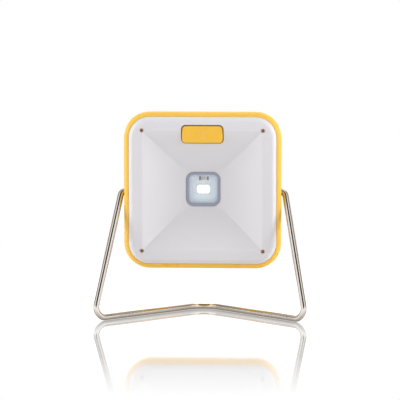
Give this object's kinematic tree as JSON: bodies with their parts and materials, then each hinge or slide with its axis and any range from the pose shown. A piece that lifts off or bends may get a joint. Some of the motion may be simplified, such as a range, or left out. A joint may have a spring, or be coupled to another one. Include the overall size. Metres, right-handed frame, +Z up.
{
  "type": "solar lantern",
  "caption": "Square palm-size lantern with a sunk window, push button and rear solar panel, pivoted in a bent wire stand that is also its handle and hanging hook.",
  "frame": {"origin": "on the tabletop, under the middle of the whole object's box", "axes": "+Z up; +X to the right as the light is faced; the light faces -Y and the solar panel +Y"},
  "size_m": [0.134, 0.0606, 0.1291],
  "materials": {
    "wire": "bright drawn stainless",
    "clip_steel": "blued spring steel",
    "nylon": "natural nylon",
    "yellow_shell": "satin moulded, warm yellow",
    "yellow_button": "satin moulded, warm yellow",
    "white_panel": "satin moulded, cool white",
    "case_rubber": "matt silicone",
    "window_rubber": "satin silicone, blue grey",
    "clear_lens": "clear polycarbonate",
    "clear_cover": "clear encapsulating sheet",
    "screw": "yellow-brown passivated",
    "board_screw": "bright zinc",
    "solder_mask": "white solder mask on glass laminate",
    "led_case": "white moulded package",
    "phosphor": "phosphor-filled silicone",
    "indicator": "diffused, pink when off",
    "component_black": "moulded epoxy",
    "ceramic": "ceramic",
    "ferrite": "ferrite",
    "switch_case": "moulded, with steel cap",
    "plunger": "moulded",
    "socket": "natural nylon",
    "cell_wrap": "shrink-wrapped cell, blue",
    "nickel": "nickel strip",
    "foam": "closed-cell foam",
    "red_insulation": "soft insulation",
    "black_insulation": "soft insulation",
    "backsheet": "glass laminate, white",
    "silicon": "dark blue monocrystalline"
  },
  "bodies": {
    "stand": {"wire_stand": "wire", "clip_left": "clip_steel", "clip_right": "clip_steel"},
    "housing": {"bush_left": "nylon", "bush_right": "nylon", "rear_shell": "yellow_shell", "front_reflector": "white_panel", "case_seal": "case_rubber", "window_seal": "window_rubber", "window_lens": "clear_lens", "panel_cover": "clear_cover", "corner_screws": "screw", "board_screws": "board_screw", "led_board": "solder_mask", "led_base": "led_case", "led_phosphor": "phosphor", "indicator_led": "indicator", "sense_resistors": "component_black", "charge_controller": "component_black", "ceramic_capacitors": "ceramic", "boost_inductor": "ferrite", "tact_switch": "switch_case", "battery_socket": "socket", "panel_socket": "socket", "battery_cell": "cell_wrap", "battery_tabs": "nickel", "cell_ribbons": "nickel", "battery_pad": "foam", "panel_tape": "foam", "battery_lead_red": "red_insulation", "panel_lead_red": "red_insulation", "battery_lead_black": "black_insulation", "panel_lead_black": "black_insulation", "solar_backsheet": "backsheet", "solar_cells": "silicon"},
    "button": {"power_button": "yellow_button"},
    "plunger": {"switch_plunger": "plunger"}
  },
  "joints": [
    {"name": "lantern_tilt", "type": "hinge", "parent": "stand", "child": "housing", "pos_m": [0, 0.01406, 0.0782], "axis": [1, 0, 0], "continuous": true},
    {"name": "button_press", "type": "slide", "parent": "housing", "child": "button", "axis": [0, 1, 0], "range_m": [0, 0.0006], "stiffness_N_per_m": 800},
    {"name": "plunger_press", "type": "slide", "parent": "housing", "child": "plunger", "axis": [0, 1, 0], "range_m": [0, 0.0006]}
  ],
  "couplings": [
    {"joint": "plunger_press", "follows": "button_press", "ratio": 1}
  ]
}
